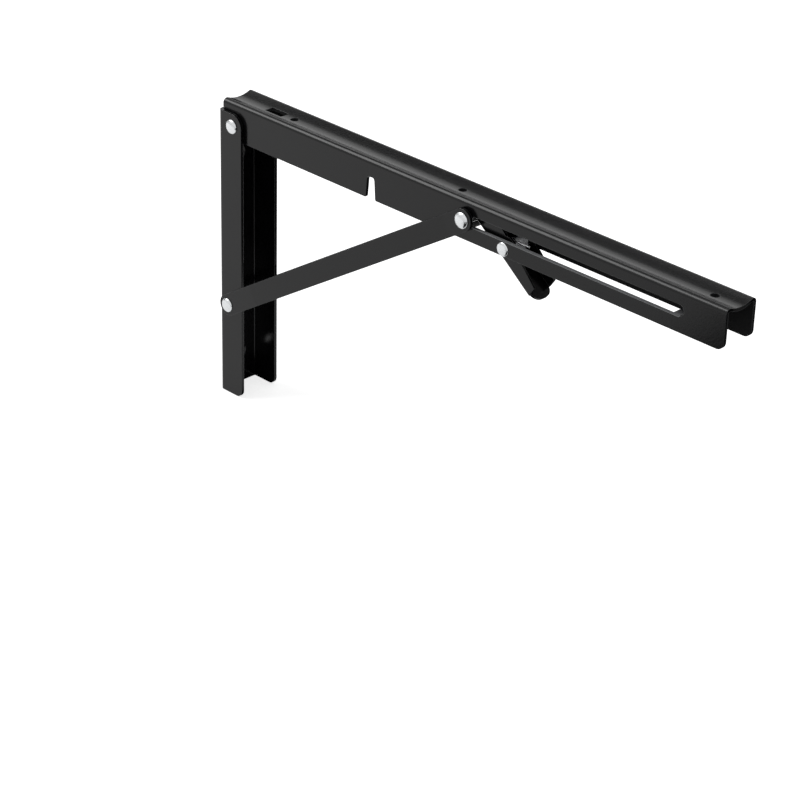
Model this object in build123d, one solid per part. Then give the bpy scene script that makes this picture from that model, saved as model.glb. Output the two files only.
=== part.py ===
import math
import os

from build123d import *

os.makedirs("parts", exist_ok=True)

# Sizes, all in millimetres
sheet = 2.0

# Arm channel
arm_width = 24.8
arm_top_z = 103.1
arm_flange_drop = 24.4
arm_rear_x = 1.8
arm_tip_x = 400.0
arm_bend = 2.8
arm_dish = 1.9
arm_ridge_in = 3.2
arm_ridge_round = 0.5
arm_tip_corner = 5.0
arm_heel_radius = 9.9
arm_heel_start_drop = 5.3
square_hole_x = 37.0
square_hole_length = 14.3
square_hole_width = 6.6
shelf_hole = 5.3
shelf_hole_rear_x = 53.0
shelf_hole_mid_x = 195.4
shelf_hole_tip_x = 382.0
stop_plate_x = 363.4
stop_plate_length = 15.0
stop_plate_top_z = 88.1
arm_ridge_y = arm_width / 2 - arm_ridge_in

# Wall channel
wall_side_gap = 0.7
wall_width = arm_width + 2 * (wall_side_gap + sheet)
wall_depth = 20.9
wall_height = 193.5
wall_top_z = 96.6
wall_foot_z = wall_top_z - wall_height
wall_back_bend = 3.0
wall_top_corner = 8.5
wall_foot_corner = 5.0
wall_screw_high_z = wall_top_z - 33.0
wall_screw_low_z = wall_foot_z + 22.2
wall_screw_hole = 5.5
wall_screw_rim = 10.6
wall_screw_rim_depth = 1.2

# Pivots
pivot_x = 12.5
top_pivot_z = 88.3
low_pivot_z = -31.8
pivot_shank = 5.6
running_fit = 0.05
pivot_head = 9.2
pivot_head_height = 1.9
top_washer_outer = 9.6
washer_gap = 0.05

# Notches that take the low rivet when the arm is folded
notch_x = 132.6
notch_mouth = 7.9
notch_width = 6.2
notch_top_z = 90.2
notch_mouth_corner = 1.0

# Long slots and the pin that slides in them
slot_z = 91.6
slot_height = 6.9
slot_near_x = 210.2
slot_far_x = 368.35
pin_x = 210.2
pin_z = 91.8
pin_shank = 6.3
pin_stub = 5.0
pin_head = 10.0
pin_head_height = 2.2
pin_collar = 8.4
pin_gap = 0.1

# Brace bars
bar_width = 13.8
low_spacer_thick = 2.4
pin_collar_thick = 1.2
bar_low_inner_y = wall_width / 2 + low_spacer_thick
bar_pin_inner_y = arm_width / 2 + pin_collar_thick
bar_low_pad = 28.0
bar_pin_pad = 14.0

# Release lever
lever_sheet = 1.5
lever_side_gap = 1.3
lever_half_width = arm_width / 2 - sheet - lever_side_gap
lever_pivot_x = 239.7
lever_pivot_z = 82.8
lever_nose_gap = 0.45
lever_nose_radius = math.hypot(lever_pivot_x - pin_x, pin_z - lever_pivot_z) - pin_shank / 2 - lever_nose_gap
lever_top_z = 96.6
lever_line_start = (214.6, 92.3)
lever_line_end = (256.0, 60.1)
lever_edge = [(232.0, 96.6), (235.1, 93.4), (251.7, 76.3), (261.9, 65.0)]
lever_tab_past = 6.8
lever_tab_in = 1.5
lever_tab_flat = 1.5
lever_tab_half_width = lever_half_width - lever_tab_in
lever_tab_corner = lever_tab_half_width - lever_tab_flat
lever_ear = 7.0
lever_bend = 1.6
lever_sleeve_outer = 6.4
lever_sleeve_inner = 4.4
lever_sleeve_gap = 0.15
lever_sleeve_end = arm_width / 2 - sheet - lever_sleeve_gap
lever_hole_fit = 0.05
lever_head = 8.5
lever_head_gap = 0.1
lever_head_height = pin_collar_thick - lever_head_gap

# Lever spring
spring_wire = 1.2
spring_coil = 7.95
spring_from_y = -6.0
spring_to_y = 5.0
spring_arm_leg = 15.0
spring_lever_leg = 12.0
spring_leg_inset = 0.15
spring_arm_leg_tilt = 0.0


def across(radius, x, z, y_from, y_to):
    """A round bar along Y."""
    low = min(y_from, y_to)
    high = max(y_from, y_to)
    bar = Cylinder(radius, high - low, rotation=(90, 0, 0))
    return Pos(x, (low + high) / 2, z) * bar


def dome(radius, height, x, z, y_face, side):
    """A rivet head that rises from y_face to one side."""
    rim = height * 0.3
    rise = height - rim
    ball = (radius * radius + rise * rise) / (2 * rise)
    sphere = Sphere(ball)
    cap = Pos(0, 0, rim + rise - ball) * sphere
    body = Cylinder(radius, height, align=(Align.CENTER, Align.CENTER, Align.MIN))
    head = body & cap
    turn = Rot(90, 0, 0) if side < 0 else Rot(-90, 0, 0)
    return Pos(x, y_face, z) * turn * head


def flat_xz(points, y_from, y_to):
    """A plate with this outline in XZ, between two Y values."""
    low = min(y_from, y_to)
    high = max(y_from, y_to)
    wire = Polyline(*[(x, z) for x, z in points], close=True)
    face = make_face(wire.edges())
    plate = extrude(face, high - low)
    return Pos(0, high, 0) * Rot(90, 0, 0) * plate


def round_slot(x_from, x_to, z, height, y_from, y_to):
    """A bar along Y with a slot's outline."""
    low = min(y_from, y_to)
    high = max(y_from, y_to)
    middle = (x_from + x_to) / 2
    body = Pos(middle, (low + high) / 2, z) * Box(x_to - x_from, high - low, height)
    body += across(height / 2, x_from, z, low, high)
    body += across(height / 2, x_to, z, low, high)
    return body


def one_solid(shape):
    """The shape as one solid, or a plain stop."""
    solids = shape.solids()
    if len(solids) != 1:
        raise ValueError(f"expected one solid and got {len(solids)}")
    return solids[0]


# Wall channel: a U whose web lies on the wall
half = wall_width / 2
outline = Polyline(
    (wall_depth, -half),
    (0, -half),
    (0, half),
    (wall_depth, half),
    (wall_depth, half - sheet),
    (sheet, half - sheet),
    (sheet, sheet - half),
    (wall_depth, sheet - half),
    close=True,
)
wall = Pos(0, 0, wall_foot_z) * extrude(make_face(outline.edges()), wall_height)
backs = wall.edges().filter_by(Axis.Z).group_by(Axis.X)[0]
wall = fillet(backs, wall_back_bend)
inners = [e for e in wall.edges().filter_by(Axis.Z) if abs(e.center().X - sheet) < 0.01]
wall = fillet(inners, wall_back_bend - sheet)
corners = wall.edges().filter_by(Axis.Y).group_by(Axis.X)[-1].group_by(Axis.Z)
wall_round_top = corners[-1]
wall = fillet(wall_round_top, wall_top_corner)
corners = wall.edges().filter_by(Axis.Y).group_by(Axis.X)[-1].group_by(Axis.Z)
wall = fillet(corners[0], wall_foot_corner)
for z in (wall_screw_high_z, wall_screw_low_z):
    hole = Pos(0, 0, z) * Cylinder(wall_screw_hole / 2, 3 * sheet, rotation=(0, 90, 0))
    rim = Cone(
        wall_screw_hole / 2,
        wall_screw_rim / 2,
        wall_screw_rim_depth,
        rotation=(0, 90, 0),
    )
    wall -= hole
    wall -= Pos(sheet - wall_screw_rim_depth / 2, 0, z) * rim
for z in (top_pivot_z, low_pivot_z):
    wall -= across(pivot_shank / 2, pivot_x, z, -half - 1, half + 1)
wall = one_solid(wall)

# Arm channel: a U that opens downwards, with a web dished between two ridges
half = arm_width / 2
inner = half - sheet
top = arm_top_z
drop = arm_top_z - arm_flange_drop


def dished_skin(side_y, ridge_y, level):
    """The edges of one face of the bent sheet, from flange foot to flange foot."""
    dish = ThreePointArc((-ridge_y, level), (0, level - arm_dish), (ridge_y, level))
    left = Polyline((-side_y, drop), (-side_y, level), (-ridge_y, level))
    right = Polyline((ridge_y, level), (side_y, level), (side_y, drop))
    return left.edges() + dish.edges() + right.edges()


inner_shift = sheet / 5
outer_skin = dished_skin(half, arm_ridge_y, top)
inner_skin = dished_skin(inner, arm_ridge_y - inner_shift, top - sheet)
feet = Polyline((-half, drop), (-inner, drop)).edges() + Polyline((inner, drop), (half, drop)).edges()
section = make_face(outer_skin + inner_skin + feet)


def corners_at(face, y, z):
    return [v for v in face.vertices() if abs(abs(v.X) - y) < 0.01 and abs(v.Y - z) < 0.01]


section = fillet(corners_at(section, half, top), arm_bend)
section = fillet(corners_at(section, arm_ridge_y, top), arm_ridge_round)
section = fillet(corners_at(section, inner, top - sheet), arm_bend - sheet)
arm = extrude(Plane.YZ * section, arm_tip_x - arm_rear_x)
arm = Pos(arm_rear_x - arm.bounding_box().min.X, 0, 0) * arm
tips = arm.edges().filter_by(Axis.Y).group_by(Axis.X)[-1].group_by(Axis.Z)[0]
arm = fillet(tips, arm_tip_corner)
heel_left = pivot_x - arm_heel_radius
heel_cut = [
    (arm_rear_x - 1, top - arm_heel_start_drop),
    (heel_left, top - arm_heel_start_drop),
    (heel_left, drop - 1),
    (arm_rear_x - 1, drop - 1),
]
arm -= flat_xz(heel_cut, -half - 1, half + 1)
heel_block = [
    (heel_left - 1, top_pivot_z),
    (pivot_x, top_pivot_z),
    (pivot_x, drop - 1),
    (heel_left - 1, drop - 1),
]
arm -= flat_xz(heel_block, -half - 1, half + 1) - across(
    arm_heel_radius, pivot_x, top_pivot_z, -half - 1, half + 1
)
arm -= Pos(square_hole_x, 0, top) * Box(square_hole_length, square_hole_width, 4 * sheet)
for x in (shelf_hole_rear_x, shelf_hole_mid_x, shelf_hole_tip_x):
    arm -= Pos(x, 0, top) * Cylinder(shelf_hole / 2, 5 * sheet)
arm -= across(pivot_shank / 2 + running_fit, pivot_x, top_pivot_z, -half - 1, half + 1)
arm -= round_slot(slot_near_x, slot_far_x, slot_z, slot_height, -half - 1, half + 1)
flare = notch_mouth / 2 - notch_width / 2
notch = [
    (notch_x - notch_width / 2, notch_top_z),
    (notch_x + notch_width / 2, notch_top_z),
    (notch_x + notch_mouth / 2, drop + notch_mouth_corner),
    (notch_x + notch_mouth / 2 + notch_mouth_corner, drop - 1),
    (notch_x - notch_mouth / 2 - notch_mouth_corner, drop - 1),
    (notch_x - notch_mouth / 2, drop + notch_mouth_corner),
]
arm -= flat_xz(notch, -half - 1, half + 1)
arm -= across(notch_width / 2, notch_x, notch_top_z, -half - 1, half + 1)
arm -= across(lever_sleeve_inner / 2, lever_pivot_x, lever_pivot_z, -half - 1, half + 1)
stop_plate = Box(stop_plate_length, 2 * inner + sheet, sheet, align=(Align.MIN, Align.CENTER, Align.MAX))
arm += Pos(stop_plate_x, 0, stop_plate_top_z) * stop_plate
arm = one_solid(arm)

# Brace bars: flat bars that run in towards the pin
run_x = pin_x - pivot_x
run_z = pin_z - low_pivot_z
bar_length = math.hypot(run_x, run_z)
bar_rise = math.degrees(math.atan2(run_z, run_x))


def brace_bar(side):
    w = bar_width / 2
    reach = 2 * (bar_low_inner_y + sheet)
    path = [
        (-w, bar_low_inner_y),
        (bar_low_pad, bar_low_inner_y),
        (bar_length - bar_pin_pad, bar_pin_inner_y),
        (bar_length + w, bar_pin_inner_y),
        (bar_length + w, bar_pin_inner_y + sheet),
        (bar_length - bar_pin_pad, bar_pin_inner_y + sheet),
        (bar_low_pad, bar_low_inner_y + sheet),
        (-w, bar_low_inner_y + sheet),
    ]
    wire = Polyline(*[(s, y * side) for s, y in path], close=True)
    body = extrude(make_face(wire.edges()), w, both=True)
    stadium = round_slot(0, bar_length, 0, bar_width, -reach, reach)
    body = body & stadium
    body -= across(pivot_shank / 2 + running_fit, 0, 0, 0, side * reach)
    body -= across(pin_stub / 2, bar_length, 0, 0, side * reach)
    body = Pos(pivot_x, 0, low_pivot_z) * Rot(0, -bar_rise, 0) * body
    return one_solid(body)


# Release lever: a folded U whose web runs on as a finger tab
ax, az = lever_line_start
bx, bz = lever_line_end
line = math.hypot(bx - ax, bz - az)
dx = (bx - ax) / line
dz = (bz - az) / line
back = 0.0
while math.hypot(ax - back * dx - lever_pivot_x, az - back * dz - lever_pivot_z) < lever_nose_radius:
    back += 0.01
nose_low = (ax - back * dx, az - back * dz)
nose_high_x = lever_pivot_x - math.sqrt(lever_nose_radius**2 - (lever_top_z - lever_pivot_z) ** 2)
side_outline = [nose_low, (nose_high_x, lever_top_z)] + lever_edge + [(bx + 2 * dx, bz + 2 * dz)]
block = flat_xz(side_outline, -lever_half_width, lever_half_width)
block += across(lever_ear, lever_pivot_x, lever_pivot_z, -lever_half_width, lever_half_width) & flat_xz(
    [
        (lever_pivot_x, lever_pivot_z),
        (lever_pivot_x - 1, lever_pivot_z + 9),
        (lever_pivot_x + 9, lever_pivot_z + 9),
        (lever_pivot_x + 9, lever_pivot_z - 1),
    ],
    -lever_half_width,
    lever_half_width,
)
bottom = [
    e
    for e in block.edges()
    if abs(e.tangent_at(0.5).Y) < 0.01
    and abs(abs(e.center().Y) - lever_half_width) < 0.01
    and abs((e.center().X - ax) * dz - (e.center().Z - az) * dx) < 0.01
]
block = fillet(bottom, lever_bend)
nx = -dz
nz = dx
inside_y = lever_half_width - lever_sheet
past = line + lever_tab_past


def on_line(along, off):
    return (ax + along * dx + off * nx, az + along * dz + off * nz)


hollow = flat_xz(
    [on_line(-20, lever_sheet), on_line(90, lever_sheet), on_line(90, 90), on_line(-20, 90)],
    -inside_y,
    inside_y,
)
lever = block - hollow
tab = flat_xz(
    [on_line(line - 4, 0), on_line(past, 0), on_line(past, lever_sheet), on_line(line - 4, lever_sheet)],
    -lever_tab_half_width,
    lever_tab_half_width,
)
tab_ends = [
    e
    for e in tab.edges()
    if abs(e.tangent_at(0.5).Y) < 0.01
    and e.length < 2 * lever_sheet
    and e.center().X > bx
]
tab = fillet(tab_ends, lever_tab_corner)
lever += tab
lever -= across(lever_sleeve_outer / 2 + lever_hole_fit, lever_pivot_x, lever_pivot_z, -arm_width, arm_width)
lever = one_solid(lever)

# Lever sleeve and its rivet
sleeve = across(lever_sleeve_outer / 2, lever_pivot_x, lever_pivot_z, -lever_sleeve_end, lever_sleeve_end)
sleeve -= across(lever_sleeve_inner / 2, lever_pivot_x, lever_pivot_z, -arm_width, arm_width)
lever_rivet = across(lever_sleeve_inner / 2, lever_pivot_x, lever_pivot_z, -arm_width / 2, arm_width / 2)
for side in (-1, 1):
    lever_rivet += dome(
        lever_head / 2, lever_head_height, lever_pivot_x, lever_pivot_z, side * arm_width / 2, side
    )

# Lever spring: a close coil on the sleeve, one leg under the arm's web, one on the lever's web
spring = across(
    (spring_coil + spring_wire) / 2, lever_pivot_x, lever_pivot_z, spring_from_y, spring_to_y
)
spring -= across((spring_coil - spring_wire) / 2, lever_pivot_x, lever_pivot_z, -arm_width, arm_width)
leg_r = spring_coil / 2 - spring_leg_inset
leg_wire = spring_wire / 2
arm_leg = Cylinder(leg_wire, spring_arm_leg, align=(Align.CENTER, Align.CENTER, Align.MIN))
arm_leg_tilt = spring_arm_leg_tilt
arm_leg = (
    Pos(lever_pivot_x, spring_from_y + leg_wire + spring_leg_inset, lever_pivot_z)
    * Rot(0, -arm_leg_tilt, 0)
    * Pos(0, 0, leg_r)
    * Rot(0, 90, 0)
    * arm_leg
)
lever_leg = Cylinder(leg_wire, spring_lever_leg, align=(Align.CENTER, Align.CENTER, Align.MIN))
web_slope = math.degrees(math.atan2(-dz, dx))
lever_leg = (
    Pos(lever_pivot_x, spring_to_y - leg_wire - spring_leg_inset, lever_pivot_z)
    * Rot(0, web_slope, 0)
    * Pos(0, 0, -leg_r)
    * Rot(0, 90, 0)
    * lever_leg
)
spring += arm_leg
spring += lever_leg
spring = one_solid(spring)

# Rivets, washers and spacers
wall_inner = wall_width / 2 - sheet
wall_outer = wall_width / 2
top_rivet = across(pivot_shank / 2, pivot_x, top_pivot_z, -wall_outer, wall_outer)
low_face = bar_low_inner_y + sheet
low_rivet = across(pivot_shank / 2, pivot_x, low_pivot_z, -low_face, low_face)
for side in (-1, 1):
    top_rivet += dome(pivot_head / 2, pivot_head_height, pivot_x, top_pivot_z, side * wall_outer, side)
    low_rivet += dome(pivot_head / 2, pivot_head_height, pivot_x, low_pivot_z, side * low_face, side)


def ring(outer, inner_d, x, z, y_from, y_to):
    body = across(outer / 2, x, z, y_from, y_to)
    return one_solid(body - across(inner_d / 2, x, z, y_from - 1, y_to + 1))


shapes = {
    "wall_channel": wall,
    "arm_channel": arm,
    "release_lever": lever,
    "lever_sleeve": one_solid(sleeve),
    "lever_rivet": one_solid(lever_rivet),
    "lever_spring": spring,
    "top_rivet": one_solid(top_rivet),
    "low_rivet": one_solid(low_rivet),
}
for name, side in (("right", -1), ("left", 1)):
    a = side * (arm_width / 2 + washer_gap)
    b = side * wall_inner
    shapes[f"top_washer_{name}"] = ring(
        top_washer_outer, pivot_shank, pivot_x, top_pivot_z, min(a, b), max(a, b)
    )
    a = side * wall_outer
    b = side * (bar_low_inner_y - washer_gap)
    shapes[f"low_spacer_{name}"] = ring(
        pivot_head + 2.0, pivot_shank, pivot_x, low_pivot_z, min(a, b), max(a, b)
    )
    shapes[f"brace_bar_{name}"] = brace_bar(side)
    outer = side * (bar_pin_inner_y + sheet)
    head = across(pin_stub / 2, pin_x, pin_z, side * bar_pin_inner_y, outer)
    head += dome(pin_head / 2, pin_head_height, pin_x, pin_z, outer, side)
    shapes[f"pin_head_{name}"] = one_solid(head)
    shank = across(pin_shank / 2, pin_x, pin_z, side * (arm_width / 2 - sheet), side * (arm_width / 2 + pin_gap))
    shank += across(
        pin_collar / 2,
        pin_x,
        pin_z,
        side * (arm_width / 2 + pin_gap),
        side * (bar_pin_inner_y - pin_gap),
    )
    shapes[f"pin_slider_{name}"] = one_solid(shank)

for name, shape in shapes.items():
    export_step(shape, f"parts/{name}.step")
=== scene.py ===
import math

import bpy
from mathutils import Matrix, Vector


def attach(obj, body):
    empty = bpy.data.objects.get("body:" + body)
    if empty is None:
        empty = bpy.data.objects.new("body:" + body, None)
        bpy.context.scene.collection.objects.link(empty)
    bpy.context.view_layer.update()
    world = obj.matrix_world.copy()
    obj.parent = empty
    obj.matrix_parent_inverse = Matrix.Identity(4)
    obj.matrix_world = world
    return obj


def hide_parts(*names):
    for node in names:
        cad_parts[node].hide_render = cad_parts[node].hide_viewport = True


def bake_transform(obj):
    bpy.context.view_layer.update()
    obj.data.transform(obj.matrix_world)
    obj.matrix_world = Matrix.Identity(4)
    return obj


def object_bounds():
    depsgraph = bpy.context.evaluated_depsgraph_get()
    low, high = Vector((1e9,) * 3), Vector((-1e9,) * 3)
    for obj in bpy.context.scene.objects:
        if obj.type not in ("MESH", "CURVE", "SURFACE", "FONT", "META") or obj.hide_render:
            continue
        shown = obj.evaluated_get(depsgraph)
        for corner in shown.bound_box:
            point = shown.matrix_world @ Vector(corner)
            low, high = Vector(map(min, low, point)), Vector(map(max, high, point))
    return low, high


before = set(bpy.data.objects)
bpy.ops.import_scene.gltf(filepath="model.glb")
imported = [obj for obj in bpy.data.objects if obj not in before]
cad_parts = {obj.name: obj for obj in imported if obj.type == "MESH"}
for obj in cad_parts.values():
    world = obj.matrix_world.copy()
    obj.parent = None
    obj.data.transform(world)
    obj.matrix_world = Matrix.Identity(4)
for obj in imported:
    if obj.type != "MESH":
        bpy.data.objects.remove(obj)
cad_low, cad_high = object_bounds()

# Places and sizes in metres, the same as in the solids
pivot_x = 0.0125
top_z = 0.0883
low_z = -0.0318
pin_x = 0.2102
pin_z = 0.0918
lever_x = 0.2397
lever_z = 0.0828
arm_outer_y = 0.0124
wall_outer_y = 0.0151
low_bar_outer_y = 0.0195
pin_bar_inner_y = 0.0136
pin_bar_outer_y = 0.0156
pivot_shank = 0.0056
lever_shank = 0.0044
pin_stub = 0.005
pin_shank_width = 0.0063
pin_shank_length = 0.02076
# the width and the height of each kind of rivet head
pivot_head = (0.0092, 0.0019)
lever_head = (0.0085, 0.0011)
pin_head = (0.01, 0.0022)
# inside the arm's channel is what lies between these two faces and under the web
flange_middle_y = 0.0115
web_underside_z = 0.10115
# the lower edge of the arm's slot
slot_edge_z = 0.08815
slot_edge_height = 0.0006
slot_middle_x = 0.2893
slot_half_length = 0.0795
white_light = (1, 1, 1, 1)


# Small helpers
def colour(code):
    """An sRGB hex colour as the linear one that the shader takes."""
    parts = [int(code[i : i + 2], 16) / 255 for i in (1, 3, 5)]
    linear = [c / 12.92 if c <= 0.04045 else ((c + 0.055) / 1.055) ** 2.4 for c in parts]
    return (*linear, 1.0)


def let_go():
    """Nothing is selected, so an operator acts only on what comes next."""
    if bpy.context.object is not None and bpy.context.object.mode != "OBJECT":
        bpy.ops.object.mode_set(mode="OBJECT")
    bpy.ops.object.select_all(action="DESELECT")


def settle(name):
    """Names the newest object, and its place, turn and size go into its mesh."""
    made = bpy.context.object
    made.name = name
    bpy.ops.object.transform_apply(location=True, rotation=True, scale=True)
    return made


def dress(obj, material):
    obj.data.materials.clear()
    obj.data.materials.append(material)


# Shader nodes: a value is a number, a colour or another node's output
def add(tree, kind, inputs=None, **settings):
    """A node with its settings, its input values and its links."""
    made = tree.nodes.new(kind)
    for key, value in settings.items():
        setattr(made, key, value)
    for key, value in (inputs or {}).items():
        if isinstance(value, bpy.types.NodeSocket):
            tree.links.new(value, made.inputs[key])
        else:
            made.inputs[key].default_value = value
    return made


def new_material(name):
    made = bpy.data.materials.new(name)
    made.use_nodes = True
    made.node_tree.nodes.clear()
    return made, made.node_tree


def finish_material(tree, shader):
    add(tree, "ShaderNodeOutputMaterial", {"Surface": shader.outputs[0]})


def maths(tree, operation, *values):
    made = add(tree, "ShaderNodeMath", dict(enumerate(values)), operation=operation)
    return made.outputs[0]


def noise(tree, place, scale, detail, roughness=0.5):
    values = {"Vector": place, "Scale": scale, "Detail": detail, "Roughness": roughness}
    return add(tree, "ShaderNodeTexNoise", values).outputs["Fac"]


def ranged(tree, value, from_low, from_high, to_low, to_high):
    """A value taken from one range to another, and held within it."""
    values = {"Value": value, "From Min": from_low, "From Max": from_high}
    values.update({"To Min": to_low, "To Max": to_high})
    return add(tree, "ShaderNodeMapRange", values).outputs["Result"]


def mixed_colour(tree, share, first, second):
    # a mix node's colours are its inputs 6 and 7 and its output 2
    made = add(tree, "ShaderNodeMix", {0: share, 6: first, 7: second}, data_type="RGBA")
    return made.outputs[2]


def mixed_normal(tree, share, first, second):
    # a mix node's vectors are its inputs 4 and 5 and its output 1
    made = add(tree, "ShaderNodeMix", {0: share, 4: first, 5: second}, data_type="VECTOR")
    return made.outputs[1]


def bumped(tree, height, strength, distance, normal=None):
    values = {"Height": height, "Strength": strength, "Distance": distance}
    if normal is not None:
        values["Normal"] = normal
    return add(tree, "ShaderNodeBump", values).outputs["Normal"]


# Powder coat: polyester baked on steel, a satin black with a fine orange peel
def powder_coat(name, inside_channel=False):
    """With inside_channel it is the arm's coat, which is duller inside the channel and has a painted
    highlight, a pale strip, along the slot's lower edge.
    """
    made, tree = new_material(name)
    place = add(tree, "ShaderNodeTexCoord").outputs["Object"]
    # orange peel has grains of about 0.4 mm, drawn at 0.9 mm so that it shows at this size
    peel = noise(tree, place, 1100.0, 2.0)
    # cloudy thickness of the coat, patches of about 25 mm
    cloud = noise(tree, place, 40.0, 3.0, 0.55)
    paint = mixed_colour(tree, cloud, colour("#08080a"), colour("#0d0d0e"))
    # above about 0.27 the render's denoiser leaves grain
    rough = ranged(tree, peel, 0.3, 0.7, 0.17, 0.22)
    if inside_channel:
        # the spray hardly gets into a narrow channel, so the coat in there is dull
        spot = add(tree, "ShaderNodeSeparateXYZ", {0: place})
        across = maths(tree, "ABSOLUTE", spot.outputs["Y"])
        between = maths(tree, "LESS_THAN", across, flange_middle_y)
        under = maths(tree, "LESS_THAN", spot.outputs["Z"], web_underside_z)
        inside = maths(tree, "MULTIPLY", between, under)
        rough = ranged(tree, inside, 0.0, 1.0, rough, 0.85)
        # painted highlight: the slot's lower edge is painted pale, so that it shows as a thin bright line of
        # light along it
        height = maths(tree, "COMPARE", spot.outputs["Z"], slot_edge_z, slot_edge_height)
        along = maths(tree, "COMPARE", spot.outputs["X"], slot_middle_x, slot_half_length)
        slot_edge_painted_highlight = maths(tree, "MULTIPLY", height, along)
        paint = mixed_colour(tree, slot_edge_painted_highlight, paint, colour("#77787a"))
    # the coat lies round over the sheet's cut edges, and these edges are painted a paler grey as a painted
    # highlight, so that they show as light rims
    edge = add(tree, "ShaderNodeBevel", {"Radius": 0.0006}, samples=8).outputs["Normal"]
    face = add(tree, "ShaderNodeNewGeometry").outputs["Normal"]
    turned = add(tree, "ShaderNodeVectorMath", {0: edge, 1: face}, operation="DOT_PRODUCT").outputs["Value"]
    painted_rim_share = ranged(tree, turned, 0.975, 0.86, 0.0, 1.0)
    paint_with_painted_rims = mixed_colour(tree, painted_rim_share, paint, colour("#454648"))
    # only the edges are rounded, and the faces between them keep their own smooth shading
    at_edge = ranged(tree, turned, 0.972, 0.93, 0.0, 1.0)
    rounded = mixed_normal(tree, at_edge, face, edge)
    skin = bumped(tree, peel, 0.12, 0.0002, rounded)
    values = {"Base Color": paint_with_painted_rims, "Roughness": rough, "Normal": skin, "Specular IOR Level": 0.25}
    finish_material(tree, add(tree, "ShaderNodeBsdfPrincipled", values))
    return made


# Zinc plate: bright blue zinc on cold-headed rivets, mirror-like with faint die marks
def zinc_plate():
    made, tree = new_material("bright_zinc_plate")
    place = add(tree, "ShaderNodeTexCoord").outputs["Object"]
    cloud = noise(tree, place, 420.0, 3.0, 0.6)
    tone = mixed_colour(tree, cloud, colour("#c6c8ca"), colour("#e2e4e5"))
    rough = ranged(tree, cloud, 0.3, 0.7, 0.16, 0.3)
    edge = add(tree, "ShaderNodeBevel", {"Radius": 0.0003}, samples=6).outputs["Normal"]
    # dents of the heading die, about 1.5 mm across
    dents = noise(tree, place, 650.0, 1.0)
    skin = bumped(tree, dents, 0.25, 0.0003, edge)
    values = {"Base Color": tone, "Metallic": 1.0, "Roughness": rough, "Normal": skin}
    finish_material(tree, add(tree, "ShaderNodeBsdfPrincipled", values))
    return made


# Nylon 6: moulded black washers and spacers, dull with a faint grain
def black_nylon():
    made, tree = new_material("moulded_black_nylon")
    place = add(tree, "ShaderNodeTexCoord").outputs["Object"]
    grain = noise(tree, place, 1400.0, 2.0)
    tone = mixed_colour(tree, grain, colour("#101010"), colour("#191919"))
    rough = ranged(tree, grain, 0.3, 0.7, 0.5, 0.62)
    skin = bumped(tree, grain, 0.1, 0.0002)
    values = {"Base Color": tone, "Roughness": rough, "Normal": skin}
    finish_material(tree, add(tree, "ShaderNodeBsdfPrincipled", values))
    return made


# Spring wire: hard drawn steel, bright, a little uneven from the drawing
def spring_wire():
    made, tree = new_material("hard_drawn_spring_wire")
    place = add(tree, "ShaderNodeTexCoord").outputs["Object"]
    marks = noise(tree, place, 1500.0, 2.0)
    tone = mixed_colour(tree, marks, colour("#b2b3b4"), colour("#cbccce"))
    rough = ranged(tree, marks, 0.3, 0.7, 0.3, 0.44)
    values = {"Base Color": tone, "Metallic": 1.0, "Roughness": rough}
    finish_material(tree, add(tree, "ShaderNodeBsdfPrincipled", values))
    return made


coat = powder_coat("satin_black_powder_coat")
arm_coat = powder_coat("satin_black_powder_coat_arm", inside_channel=True)
zinc = zinc_plate()
nylon = black_nylon()
wire = spring_wire()

finishes = (
    (coat, ("wall_channel", "brace_bar_right", "brace_bar_left", "release_lever")),
    (arm_coat, ("arm_channel",)),
    (zinc, ("lever_sleeve", "pin_slider_right", "pin_slider_left")),
    (nylon, ("top_washer_right", "top_washer_left", "low_spacer_right", "low_spacer_left")),
)
for material, nodes in finishes:
    for node in nodes:
        dress(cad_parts[node], material)


# Rivets: a shank whose ends are headed into low domes
# share of the head's width and share of its height, from the sheet up to the crown
head_profile = (
    (0.985, 0.0),
    (1.0, 0.06),
    (1.0, 0.2),
    (0.985, 0.3),
    (0.95, 0.42),
    (0.88, 0.56),
    (0.77, 0.7),
    (0.63, 0.82),
    (0.46, 0.91),
    (0.28, 0.97),
    (0.12, 1.0),
)
metal_smooth_angle = math.radians(38)


def pick_end_face(obj, side):
    """Selects only the face at that end of a shank along Y."""
    bpy.ops.mesh.select_all(action="DESELECT")
    bpy.ops.object.mode_set(mode="OBJECT")
    found = max(obj.data.polygons, key=lambda f: f.normal.y * side * 10 + f.center.y * side * 100)
    found.select = True
    bpy.ops.object.mode_set(mode="EDIT")


def headed_rivet(name, x, z, y_low, y_high, shank, head, sides):
    """sides holds -1 and 1 for the ends that are headed."""
    let_go()
    bpy.ops.mesh.primitive_cylinder_add(
        vertices=64,
        radius=shank / 2,
        depth=y_high - y_low,
        location=(x, (y_low + y_high) / 2, z),
        rotation=(math.pi / 2, 0, 0),
    )
    made = settle(name)
    width, height = head
    bpy.ops.object.mode_set(mode="EDIT")
    bpy.ops.mesh.select_mode(type="FACE")
    for side in sides:
        pick_end_face(made, side)
        spot = (x, y_high if side > 0 else y_low, z)
        last_width = shank
        last_height = 0.0
        for share, up in head_profile:
            bpy.ops.mesh.extrude_region_move(
                TRANSFORM_OT_translate={"value": (0, side * (up - last_height) * height, 0)}
            )
            grow = share * width / last_width
            bpy.ops.transform.resize(value=(grow, 1, grow), center_override=spot)
            last_width = share * width
            last_height = up
    bpy.ops.mesh.select_all(action="SELECT")
    bpy.ops.mesh.normals_make_consistent(inside=False)
    bpy.ops.object.mode_set(mode="OBJECT")
    bpy.ops.object.shade_smooth_by_angle(angle=metal_smooth_angle)
    dress(made, zinc)
    return made


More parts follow.
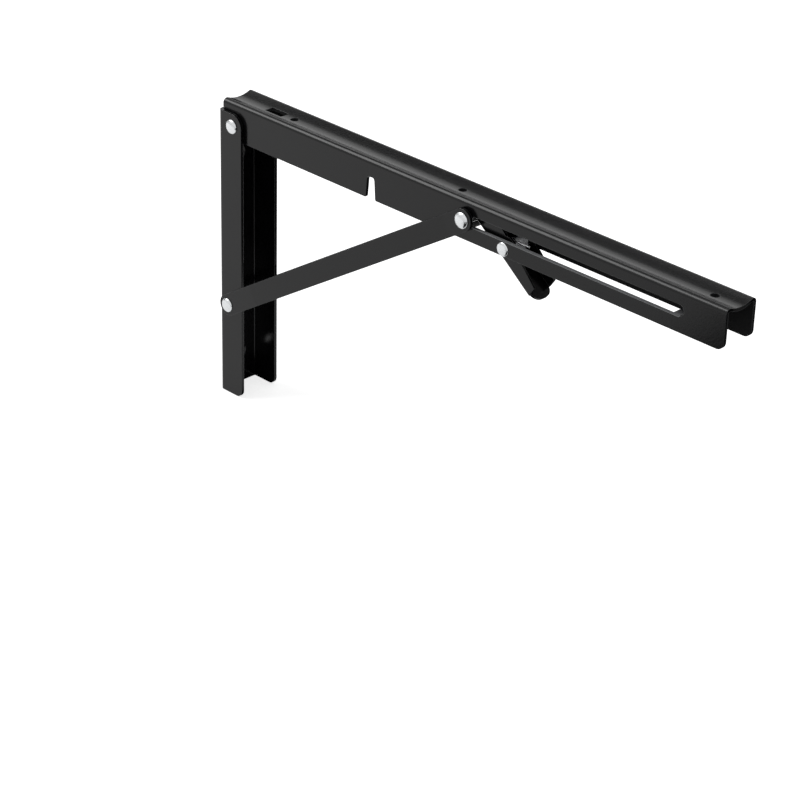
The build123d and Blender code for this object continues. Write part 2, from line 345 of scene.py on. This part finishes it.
both_sides = (-1, 1)
top_rivet = headed_rivet(
    "top_rivet_headed", pivot_x, top_z, -wall_outer_y, wall_outer_y, pivot_shank, pivot_head, both_sides
)
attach(top_rivet, "wall")
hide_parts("top_rivet")
low_rivet = headed_rivet(
    "low_rivet_headed", pivot_x, low_z, -low_bar_outer_y, low_bar_outer_y, pivot_shank, pivot_head, both_sides
)
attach(low_rivet, "wall")
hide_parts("low_rivet")
lever_rivet = headed_rivet(
    "lever_rivet_headed", lever_x, lever_z, -arm_outer_y, arm_outer_y, lever_shank, lever_head, both_sides
)
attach(lever_rivet, "arm")
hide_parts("lever_rivet")
pin_right = headed_rivet(
    "pin_head_right_headed", pin_x, pin_z, -pin_bar_outer_y, -pin_bar_inner_y, pin_stub, pin_head, (-1,)
)
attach(pin_right, "brace")
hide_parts("pin_head_right")
pin_left = headed_rivet(
    "pin_head_left_headed", pin_x, pin_z, pin_bar_inner_y, pin_bar_outer_y, pin_stub, pin_head, (1,)
)
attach(pin_left, "brace")
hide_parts("pin_head_left")


# Middle of the sliding pin, between the arm's flanges
let_go()
bpy.ops.mesh.primitive_cylinder_add(
    vertices=64,
    radius=pin_shank_width / 2,
    depth=pin_shank_length,
    location=(pin_x, 0, pin_z),
    rotation=(math.pi / 2, 0, 0),
)
pin_shank = settle("pin_shank")
soft = pin_shank.modifiers.new("soft_ends", "BEVEL")
soft.width = 0.0002
soft.segments = 2
soft.limit_method = "ANGLE"
bpy.ops.object.modifier_apply(modifier=soft.name)
bpy.ops.object.shade_smooth_by_angle(angle=metal_smooth_angle)
dress(pin_shank, zinc)
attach(pin_shank, "slide_pin")


# Lever spring: close turns of round wire on the sleeve, with a leg at each end
turns = 7.75
steps_per_turn = 36
wire_width = 0.0012
coil_width = 0.00795
coil_low = -0.0054
coil_high = 0.0044
arm_leg_length = 0.0145
lever_leg_length = 0.0115
let_go()
bpy.ops.mesh.primitive_circle_add(
    vertices=14,
    radius=wire_width / 2,
    fill_type="NOTHING",
    location=(lever_x, coil_low, lever_z + coil_width / 2),
    rotation=(0, math.pi / 2, 0),
)
lever_spring = bpy.context.object
lever_spring.name = "lever_spring_wound"
bpy.ops.object.transform_apply(location=False, rotation=True, scale=True)
# the screw modifier winds about the object's own axis, so the circle is moved in its mesh
lever_spring.data.transform(Matrix.Translation((0, 0, coil_width / 2)))
lever_spring.location = (lever_x, coil_low, lever_z)
wind = lever_spring.modifiers.new("wind", "SCREW")
wind.axis = "Y"
wind.angle = 2 * math.pi * turns
wind.screw_offset = coil_high - coil_low
wind.steps = int(turns * steps_per_turn)
wind.render_steps = wind.steps
wind.use_merge_vertices = False
wind.use_smooth_shade = True
bpy.ops.object.modifier_apply(modifier=wind.name)
bpy.ops.object.transform_apply(location=True, rotation=True, scale=True)


def pick_open_end(obj, y):
    """Selects the open end of the wire that lies within a millimetre of that Y."""
    near = 0.001
    bpy.ops.object.mode_set(mode="EDIT")
    bpy.ops.mesh.select_mode(type="EDGE")
    bpy.ops.mesh.select_all(action="DESELECT")
    bpy.ops.mesh.select_non_manifold(extend=False)
    bpy.ops.object.mode_set(mode="OBJECT")
    for v in obj.data.vertices:
        v.select = v.select and y - near <= v.co.y <= y + near
    for e in obj.data.edges:
        e.select = all(obj.data.vertices[i].select for i in e.vertices)
    bpy.ops.object.mode_set(mode="EDIT")


def grow_leg(obj, y, length):
    """The wire runs straight on along X from its open end at that Y, and is closed."""
    pick_open_end(obj, y)
    bpy.ops.mesh.extrude_region_move(TRANSFORM_OT_translate={"value": (length, 0, 0)})
    bpy.ops.mesh.edge_face_add()
    bpy.ops.object.mode_set(mode="OBJECT")


grow_leg(lever_spring, coil_low, arm_leg_length)
grow_leg(lever_spring, coil_high, lever_leg_length)
bpy.ops.object.mode_set(mode="EDIT")
bpy.ops.mesh.select_all(action="SELECT")
bpy.ops.mesh.normals_make_consistent(inside=False)
bpy.ops.object.mode_set(mode="OBJECT")
bpy.ops.object.shade_smooth_by_angle(angle=math.radians(50))
dress(lever_spring, wire)
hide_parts("lever_spring")
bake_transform(lever_spring)


# Floor and world: they look whiter than the light that they give
def looked_at(tree, path):
    """1 for what the camera, a reflection or glass sees, and 0 for the light that falls on the object."""
    seen = maths(tree, "MAXIMUM", path.outputs["Is Camera Ray"], path.outputs["Is Glossy Ray"])
    return maths(tree, "MAXIMUM", seen, path.outputs["Is Transmission Ray"])


# Floor: a pale sheet under the bracket, white to the camera with a faint shadow
def pale_floor():
    made, tree = new_material("pale_studio_floor")
    path = add(tree, "ShaderNodeLightPath")
    matt = add(tree, "ShaderNodeBsdfDiffuse", {"Color": colour("#e8e8e8")})
    # a little brighter to the camera than in reflections, so that the picture's ground is white
    strength = maths(tree, "MULTIPLY_ADD", path.outputs["Is Camera Ray"], 0.32, 0.46)
    glow = add(tree, "ShaderNodeEmission", {"Color": white_light, "Strength": strength})
    bright = add(tree, "ShaderNodeAddShader", {0: matt.outputs[0], 1: glow.outputs[0]})
    share = looked_at(tree, path)
    mixed = add(tree, "ShaderNodeMixShader", {0: share, 1: matt.outputs[0], 2: bright.outputs[0]})
    # from below the floor is clear
    below = add(tree, "ShaderNodeNewGeometry").outputs["Backfacing"]
    clear = add(tree, "ShaderNodeBsdfTransparent")
    shown = add(tree, "ShaderNodeMixShader", {0: below, 1: mixed.outputs[0], 2: clear.outputs[0]})
    finish_material(tree, shown)
    return made


let_go()
bpy.ops.mesh.primitive_plane_add(size=12, location=(0.2, 0, cad_low.z - 0.0005))
floor = settle("floor")
dress(floor, pale_floor())

# World: white to the camera and to gloss, a soft grey light on the object
world = bpy.data.worlds.new("studio")
bpy.context.scene.world = world
world.use_nodes = True
sky = world.node_tree
sky.nodes.clear()
sky_path = add(sky, "ShaderNodeLightPath")
soft_light = add(sky, "ShaderNodeBackground", {"Color": white_light, "Strength": 0.22})
white = add(sky, "ShaderNodeBackground", {"Color": white_light, "Strength": 1.0})
sky_share = looked_at(sky, sky_path)
chosen = add(sky, "ShaderNodeMixShader", {0: sky_share, 1: soft_light.outputs[0], 2: white.outputs[0]})
add(sky, "ShaderNodeOutputWorld", {"Surface": chosen.outputs[0]})


# Lights and cards
def turn_towards(obj, spot, aim):
    obj.rotation_euler = (Vector(aim) - Vector(spot)).to_track_quat("-Z", "Y").to_euler()


def soft_box(name, spot, aim, size, power):
    let_go()
    bpy.ops.object.light_add(type="AREA", location=spot)
    lamp = bpy.context.object
    lamp.name = name
    lamp.data.shape = "SQUARE"
    lamp.data.size = size
    lamp.data.energy = power
    turn_towards(lamp, spot, aim)


def card(name, spot, aim, width, height, cloth):
    """A card that only reflections see, so that a black coat keeps its shape."""
    let_go()
    bpy.ops.mesh.primitive_plane_add(size=1, location=spot)
    made = bpy.context.object
    made.scale = (width, height, 1)
    turn_towards(made, spot, aim)
    settle(name)
    made.visible_camera = False
    made.visible_diffuse = False
    made.visible_shadow = False
    dress(made, cloth)


def studio_cloth(name, code):
    made, tree = new_material(name)
    finish_material(tree, add(tree, "ShaderNodeBsdfDiffuse", {"Color": colour(code)}))
    return made


black_cloth = studio_cloth("black_studio_cloth", "#0a0a0a")
pale_cloth = studio_cloth("pale_studio_cloth", "#d6d6d6")


def floor_card(name, x, y, z, width, height):
    """A black card that lies flat."""
    card(name, (x, y, z), (x, y, -1.0), width, height, black_cloth)


middle = (0.18, 0.0, 0.05)
soft_box("high_left_softbox", (-0.95, -0.65, 1.35), middle, 1.1, 22.0)
soft_box("top_softbox", (0.1, 0.3, 1.7), middle, 1.2, 3.5)
card("back_card", (-0.1, 1.15, 1.38), middle, 3.0, 0.85, pale_cloth)
card("low_back_card", (-0.57, 0.93, 0.06), (-0.57, 0, 0.06), 2.8, 0.3, black_cloth)
card("left_card", (-1.3, -0.5, 0.2), middle, 0.3, 0.9, black_cloth)
# a little above the floor
over_floor = cad_low.z + 0.004
floor_card("back_floor_card", -0.755, 0.69, over_floor, 1.79, 0.48)
floor_card("right_floor_card", 0.6, 0.32, over_floor, 0.9, 0.5)
floor_card("front_floor_card", 0.59, -0.32, over_floor, 0.84, 0.5)
# painted shade: a black card between the floor and the wall channel's foot, which reflections see in place of
# the shadow under the foot
floor_card("foot_painted_shade_card", 0.015, 0.0, cad_low.z - 0.0003, 0.03, 0.0262)

# Camera: the photograph's own viewpoint, fitted to the bracket's straight edges
azimuth = math.radians(44.757)
elevation = math.radians(27.8536)
roll = math.radians(1.5425)
target = Vector((0.150, 0.0, 0.0426))
distance = 1.58509
shift_left = 0.002686
shift_down = 0.084233
back = Vector(
    (math.sin(azimuth) * math.cos(elevation), -math.cos(azimuth) * math.cos(elevation), math.sin(elevation))
)
level = Vector((math.cos(azimuth), math.sin(azimuth), 0.0))
upright = back.cross(level)
right = level * math.cos(roll) + upright * math.sin(roll)
up = upright * math.cos(roll) - level * math.sin(roll)
spot = target + back * distance - right * shift_left - up * shift_down
camera_data = bpy.data.cameras.new("photo_camera")
camera = bpy.data.objects.new("photo_camera", camera_data)
bpy.context.scene.collection.objects.link(camera)
camera_data.sensor_width = 36.0
camera_data.lens = 120.19
camera_data.clip_start = 0.05
camera_data.clip_end = 50.0
camera.matrix_world = Matrix(
    (
        (right.x, up.x, back.x, spot.x),
        (right.y, up.y, back.y, spot.y),
        (right.z, up.z, back.z, spot.z),
        (0, 0, 0, 1),
    )
)
bpy.context.scene.camera = camera
bpy.context.scene.view_settings.view_transform = "Standard"
